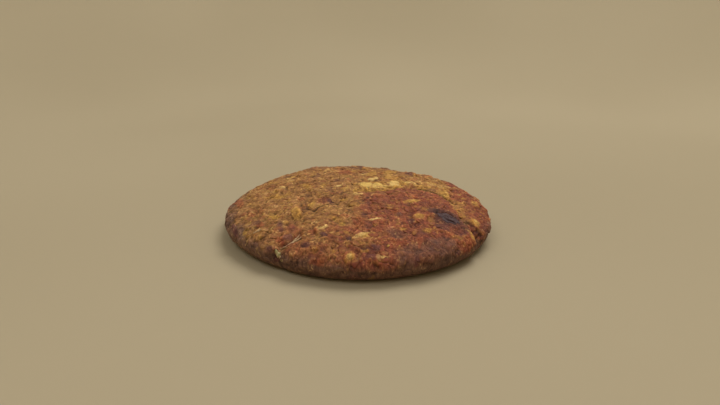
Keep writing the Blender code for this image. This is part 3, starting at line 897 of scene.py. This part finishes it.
class Recipe:
    """A material's nodes, written as calls that return sockets. Pattern sizes are in millimetres."""

    def __init__(self, name, stretch=1.0):
        self.material = bpy.data.materials.new(name)
        self.material.use_nodes = True
        self.tree = self.material.node_tree
        self.shader = self.tree.nodes["Principled BSDF"]
        place = self.tree.nodes.new("ShaderNodeTexCoord").outputs["Object"]
        self.place = self.vector("MULTIPLY", place, (1 / MM, 1 / MM, stretch / MM))

    def set(self, node, name, value):
        if isinstance(value, bpy.types.NodeSocket):
            self.tree.links.new(value, node.inputs[name])
        elif value is not None:
            node.inputs[name].default_value = value

    def node(self, kind, output, inputs, **settings):
        """A new node's output."""
        node = self.tree.nodes.new("ShaderNode" + kind)
        for name, value in settings.items():
            setattr(node, name, value)
        for name, value in inputs.items():
            self.set(node, name, value)
        return node.outputs[output]

    def vector(self, operation, a, b):
        return self.node("VectorMath", 0, {0: a, 1: b}, operation=operation)

    def math(self, operation, a, b=None):
        return self.node("Math", 0, {0: a, 1: b}, operation=operation)

    def mix(self, share, a, b):
        return self.node("Mix", 2, {0: share, 6: a, 7: b}, data_type="RGBA")

    def shaded(self, colour, brightness):
        return self.node("VectorMath", 0, {0: colour, "Scale": brightness}, operation="SCALE")

    def attribute(self, name, output="Fac"):
        return self.node("Attribute", output, {}, attribute_name=name)

    def noise(self, size, detail=2.0, roughness=0.5, shift=0.0, distortion=0.0):
        inputs = {"Vector": self.vector("ADD", self.place, (shift, shift, shift)), "Scale": 1 / size}
        inputs |= {"Detail": detail, "Roughness": roughness, "Distortion": distortion}
        return self.node("TexNoise", "Fac", inputs)

    def between(self, value, start, end, low=0.0, high=1.0):
        """The value's way from start to end, as a number from low to high."""
        inputs = {"Value": value, "From Min": start, "From Max": end, "To Min": low, "To Max": high}
        return self.node("MapRange", "Result", inputs, interpolation_type="SMOOTHSTEP")

    def total(self, start, *terms):
        """The start plus each value times its weight."""
        value = start
        for term, weight in terms:
            value = self.math("ADD", self.math("MULTIPLY", term, weight), value)
        return value

    def ramp(self, value, *colours):
        """Evenly spaced colours, from value 0 to value 1."""
        node = self.tree.nodes.new("ShaderNodeValToRGB")
        elements = node.color_ramp.elements
        while len(elements) < len(colours):
            elements.new(0.5)
        for k, colour in enumerate(colours):
            elements[k].position = k / (len(colours) - 1)
            elements[k].color = srgb(*colour)
        self.set(node, "Fac", value)
        return node.outputs["Color"]

    def channels(self, name):
        """The four numbers of an attribute."""
        node = self.tree.nodes.new("ShaderNodeSeparateColor")
        self.set(node, 0, self.attribute(name, "Color"))
        return *node.outputs, self.attribute(name, "Alpha")

    def bump(self, height, strength, distance):
        inputs = {"Strength": strength, "Distance": distance, "Height": height}
        self.set(self.shader, "Normal", self.node("Bump", 0, inputs))

    def finish(self, colour, roughness, specular=0.3):
        self.set(self.shader, "Base Color", colour)
        self.set(self.shader, "Roughness", roughness)
        self.shader.inputs["Specular IOR Level"].default_value = specular
        return self.material


# Colours of the crust, each from shadow to highlight
OCHRE = ((108, 70, 40), (140, 97, 54), (167, 121, 73), (194, 153, 100))
YELLOW = ((115, 70, 37), (148, 100, 51), (174, 126, 69), (210, 168, 98))
RED = ((106, 54, 40), (128, 68, 46), (145, 81, 54), (166, 102, 70))
PURPLE = ((88, 56, 46), (107, 68, 54), (122, 78, 60), (140, 94, 70))
# DARK: the rim's browner baked colour, and painted shade on the lower and left sides
DARK = ((79, 56, 49), (102, 75, 65), (119, 91, 77), (140, 111, 92))
GOLD = ((140, 95, 42), (170, 124, 52), (196, 153, 69), (224, 192, 108))
RUST = ((104, 48, 32), (134, 66, 42), (156, 84, 52), (184, 112, 76))
PLUM = ((56, 33, 36), (86, 51, 49), (108, 66, 58), (140, 94, 79))
# PALE: pale oats and spots, and also the painted highlight on the dough's stroke crests
PALE = ((160, 114, 64), (200, 156, 90), (226, 192, 118), (242, 218, 152))
BARE_OAT = ((150, 104, 50), (192, 150, 74), (218, 182, 98), (238, 210, 128))
OLIVE = ((104, 76, 36), (136, 106, 50), (162, 130, 68), (190, 160, 96))
ROSE = ((94, 44, 44), (126, 62, 56), (148, 80, 66), (178, 110, 88))
HULL = ((112, 96, 54), (138, 124, 76), (164, 158, 110), (190, 194, 150))
# Each layer over the ochre: its palette, the attribute and channel that say where, how far noise frays it,
# and the share of it that shows
ZONE_LAYERS = ((YELLOW, "zone", 0, 0.5, 1.0), (RED, "zone", 1, 1.1, 1.0))
# The dark layer paints shade on the lower and left sides as well as the rim's baked colour
BAKED_AND_SHADE_LAYERS = ((PURPLE, "zone", 2, 0.8, 0.95), (DARK, "zone", 3, 0.3, 0.9))
SPOT_LAYERS = (
    (GOLD, "spot", 0, 1.2, 0.6),
    (RUST, "spot", 1, 1.2, 0.65),
    (PLUM, "spot", 2, 1.0, 0.85),
    (PALE, "spot", 3, 1.2, 0.7),
)

# Mottles all over: palette, size in millimetres, shift, and the share that shows on pale and on red crust
MOTTLES = (
    (GOLD, 2.6, 120, 0.4, 0.4),
    (OLIVE, 1.9, 210, 0.5, 0.2),
    (RUST, 2.6, 150, 0.45, 0.4),
    (ROSE, 1.8, 240, 0.3, 0.5),
    (PLUM, 2.6, 180, 0.25, 0.3),
)


def crust_colour(recipe, value):
    """The baked crust's colour at a value from shadow to highlight, by zone, with painted shade in the dark
    zone's lower and left parts, and by spot.
    """
    blotch = recipe.noise(3.0, 3, 0.6, shift=90)
    fray = recipe.noise(1.6, 2, 0.6, shift=60)
    channels = {name: recipe.channels(name) for name in ("zone", "spot")}

    def layers(colour, rows, wander):
        for palette, name, channel, frayed, most in rows:
            share = recipe.total(-0.5 * frayed, (wander, frayed), (channels[name][channel], 1.0))
            shown = recipe.between(share, 0.15, 0.85, 0.0, most)
            colour = recipe.mix(shown, colour, recipe.ramp(value, *palette))
        return colour

    colour = layers(recipe.ramp(value, *OCHRE), ZONE_LAYERS, blotch)
    for palette, size, shift, plain, red in MOTTLES:
        most = recipe.total(plain, (channels["zone"][1], red - plain))
        shown = recipe.between(recipe.noise(size, 2, 0.5, shift=shift), 0.54, 0.7, 0.0, most)
        colour = recipe.mix(shown, colour, recipe.ramp(value, *palette))
    colour = layers(colour, BAKED_AND_SHADE_LAYERS, blotch)
    return layers(colour, SPOT_LAYERS, fray)


def dough_material():
    recipe = Recipe("baked_dough", SIDE_STRETCH)
    strokes = recipe.noise(0.9, 4, 0.65, distortion=1.2)
    mottle = recipe.noise(2.8, 2, 0.5, shift=20)
    broad = recipe.noise(8.0, 2, 0.5, shift=70)
    oat, tone, crease, groove, pit = map(recipe.attribute, ("oat", "tone", "crease", "groove", "pit"))
    oat_tone = recipe.math("MULTIPLY", recipe.math("SUBTRACT", tone, 0.2), oat)
    wrinkle = recipe.math("ABSOLUTE", recipe.math("SUBTRACT", recipe.noise(1.7, 2, 0.5, 45, 1.5), 0.5))
    lines = recipe.between(wrinkle, 0.0, 0.06)
    # The strokes are fine ridges that the bump raises: the value, the pale mix and the brightness paint
    # highlights on their crests and shade between them
    value = recipe.total(-0.95, (mottle, 1.3), (broad, 0.8), (strokes, 0.7), (oat_tone, 0.3))
    # Painted highlight: paler colour on the strokes' crests
    pale = recipe.between(strokes, 0.56, 0.72, 0.0, 0.35)
    colour = recipe.mix(pale, crust_colour(recipe, value), recipe.ramp(value, *PALE))
    # Painted light and shade: brighter on stroke crests, darker in the thin lines, the hollows, the pits and
    # the creases; the crease attribute also holds the raisin's stain
    painted_shading_and_stain = recipe.total(0.2, (strokes, 1.25), (lines, 0.26), (groove, -2.9), (pit, -0.2), (crease, -0.55))
    colour = recipe.shaded(colour, recipe.math("MAXIMUM", painted_shading_and_stain, 0.4))
    recipe.bump(recipe.total(0.0, (strokes, 1.4), (lines, 0.3)), 0.6, 0.35 * MM)
    return recipe.finish(colour, recipe.between(mottle, 0.3, 0.7, 0.6, 0.85), 0.2)


def oat_material(name):
    """Oats: bare and pale in the middle, or covered with baked dough, which always covers the rim."""
    recipe = Recipe(name)
    tone, bare, rim = map(recipe.attribute, ("tone", "bare", "rim"))
    streak = recipe.noise(0.9, 3, 0.6, shift=10, distortion=0.8)
    cover = recipe.noise(1.7, 2, 0.5, shift=35)
    value = recipe.total(0.1, (streak, 0.6), (tone, 0.3))
    worn_rim = recipe.math("POWER", rim, 3.0)
    share = recipe.total(0.25, (bare, 1.2), (cover, -1.3), (worn_rim, -0.5))
    bared = recipe.between(share, 0.0, 1.1)
    colour = recipe.mix(bared, crust_colour(recipe, value), recipe.ramp(value, *BARE_OAT))
    colour = recipe.shaded(colour, recipe.total(0.6, (streak, 0.85), (worn_rim, -0.25)))
    recipe.bump(recipe.noise(0.3, 2), 0.25, 0.08 * MM)
    return recipe.finish(colour, recipe.between(streak, 0.3, 0.7, 0.6, 0.85), 0.2)


def raisin_material():
    recipe = Recipe("raisin_skin")
    bloom = recipe.noise(0.9, 3, 0.6)
    # Painted shade: darker in the folds and wrinkles
    value = recipe.total(0.05, (bloom, 1.1), (recipe.attribute("groove"), -2.2))
    colour = recipe.ramp(value, (46, 26, 28), (66, 43, 45), (82, 60, 63), (102, 82, 87))
    recipe.bump(recipe.noise(0.35, 3), 0.4, 0.1 * MM)
    return recipe.finish(colour, recipe.between(bloom, 0.3, 0.7, 0.5, 0.75), 0.3)


def husk_material():
    recipe = Recipe("husk")
    streak = recipe.noise(0.8, 3, 0.6)
    colour = recipe.ramp(streak, (132, 98, 68), (186, 154, 116), (216, 194, 162))
    patches = recipe.between(recipe.noise(1.4, 2, 0.6, shift=5), 0.35, 0.6)
    green = recipe.math("MULTIPLY", recipe.attribute("green"), patches)
    colour = recipe.mix(green, colour, recipe.ramp(streak, *HULL))
    recipe.bump(recipe.noise(0.3, 2), 0.3, 0.05 * MM)
    return recipe.finish(colour, 0.5)


def floor_material():
    recipe = Recipe("floor")
    cloud = recipe.noise(260, 1)
    colour = recipe.ramp(recipe.between(cloud, 0.3, 0.7), (166, 154, 128), (171, 159, 133))
    return recipe.finish(colour, 0.9, 0.1)


def make_stage():
    """A pale floor that rises in a wide soft curve all round, as one turned sheet."""
    level, flat, reach, top = -0.0001, 0.22, 0.9, 0.9
    steps, sides = 24, 96
    section = [(flat + (reach - flat) * k / steps, level + top * (k / steps) ** 3) for k in range(steps + 1)]
    points = [(0.0, 0.0, level)]
    for radius, high in section:
        turns = [2 * math.pi * k / sides for k in range(sides)]
        points += [(radius * math.cos(turn), radius * math.sin(turn), high) for turn in turns]
    faces = [(0, 1 + k, 1 + (k + 1) % sides) for k in range(sides)]
    for ring in range(steps):
        first = 1 + ring * sides
        faces += equal_faces(first, first + sides, sides)
    new_piece("floor", points, faces, floor_material(), {})


def add_light(name, place, size, power, colour):
    light = bpy.data.lights.new(name, "AREA")
    light.shape = "DISK"
    light.size = size
    light.energy = power
    light.color = colour
    add_object(name, light, place, (0, 0, 0))


def make_lights():
    add_light("key", (0.45, 0.5, 1.2), 0.9, 11.0, (1.0, 0.97, 0.93))
    add_light("fill", (-0.6, -0.7, 1.1), 1.0, 6.0, (1.0, 0.98, 0.95))
    world = bpy.data.worlds.new("studio")
    world.use_nodes = True
    background = world.node_tree.nodes["Background"]
    background.inputs["Color"].default_value = (1.0, 0.97, 0.92, 1)
    background.inputs["Strength"].default_value = 0.5
    bpy.context.scene.world = world


def make_camera():
    camera = bpy.data.cameras.new("camera")
    camera.lens = CAMERA_LENS
    camera.sensor_width = CAMERA_SENSOR
    camera.clip_start = 0.001
    slope = math.radians(CAMERA_ELEVATION)
    place = Vector(CAMERA_AIM) + CAMERA_DISTANCE * Vector((0, -math.cos(slope), math.sin(slope)))
    bpy.context.scene.camera = add_object("camera", camera, place, CAMERA_AIM)


def spot_items(rows, strength=1.0):
    return [
        Flake(share, math.radians(degrees), length * MM, width * MM, 0, math.radians(turn), 0, strength)
        for share, degrees, length, width, turn in rows
    ]


def speck_items():
    """The specks as flakes. Any direction will do, so the number of degrees serves as one in radians."""
    return [
        Flake(share, math.radians(degrees), SPECK_LENGTH, SPECK_WIDTH, CHIP_RISE[1], degrees, 0, SPECK_BARE)
        for share, degrees in SPECKS
    ]


def other_spots(count, seed):
    """Spots at random places, almost all of them on the side that the photograph doesn't show."""
    draw = random.Random(seed)
    rows = []
    while len(rows) < count:
        share, degrees = 1.08 * math.sqrt(draw.random()), draw.uniform(-180, 180)
        length = draw.uniform(*OTHER_SPOT_SIZES)
        row = (share, degrees, length, length * draw.uniform(0.4, 0.9), draw.uniform(-90, 90))
        if degrees > 0 or draw.random() < FRONT_SPOTS:
            rows.append(row)
    return spot_items(rows, OTHER_SPOT_STRENGTH)


def main():
    crust = Crust()
    skin = Skin(crust)
    flakes = plan_flakes(crust)
    place_seed, shape_seed = SMALL_OAT_SEEDS
    small = scatter(SMALL_OAT_COUNT, place_seed, SMALL_OAT_LENGTHS, SMALL_OAT_RISE, SMALL_OAT_LEAN)
    skin.press_oats(small, shape_seed)
    skin.roughen()
    kinds = (GOLD_SPOTS, RUST_SPOTS, PLUM_SPOTS, PALE_SPOTS)
    for channel, (rows, count) in enumerate(zip(kinds, OTHER_SPOTS)):
        items = spot_items(rows) + other_spots(count, SPOT_SEED + channel)
        skin.paint(channel, items, SPOT_SEED + 10 + channel)
        if rows is PLUM_SPOTS:
            skin.press_fruit([item for item in items if item.width > SMALLEST_FRUIT], FRUIT_SEED)
            skin.paint(channel, spot_items(FAINT_PLUM_SPOTS, FAINT_STRENGTH), FAINT_SEED)
    skin.press_flakes(flakes, FLAKE_SEED)
    skin.swell_round_raisin()
    skin.finish()
    bare_flakes = [flake for flake in flakes if flake.bare >= BARE_FROM]
    oats = oat_material("oats")
    bits = scatter(OAT_BIT_COUNT, OAT_BIT_SEEDS[0], OAT_BIT_LENGTHS, OAT_BIT_RISE, OAT_BIT_LEAN)
    bits = away_from_raisin(bits, crust)
    chips = scatter(CHIP_COUNT, CHIP_SEEDS[0], CHIP_LENGTHS, CHIP_RISE, CHIP_LEAN)
    chips = away_from_raisin(chips, crust) + speck_items()
    dough_pieces = (
        make_dough(skin),
        make_oats("oat_flakes", bare_flakes, skin, oats, sides=36, top_rings=8, seed=SEED),
        make_oats("oat_bits", bits, skin, oats, sides=16, top_rings=3, seed=OAT_BIT_SEEDS[1]),
        make_oats("oat_chips", chips, skin, oats, sides=8, top_rings=2, seed=CHIP_SEEDS[1]),
        make_crumbs(skin, oats),
        make_husk(skin),
    )
    for piece in dough_pieces:
        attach(piece, "root")
        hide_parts("cookie")
    raisin = make_raisin(crust)
    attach(raisin, "root")
    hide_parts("raisin")
    make_stage()
    make_lights()
    make_camera()
    bpy.context.scene.view_settings.view_transform = "Standard"


main()
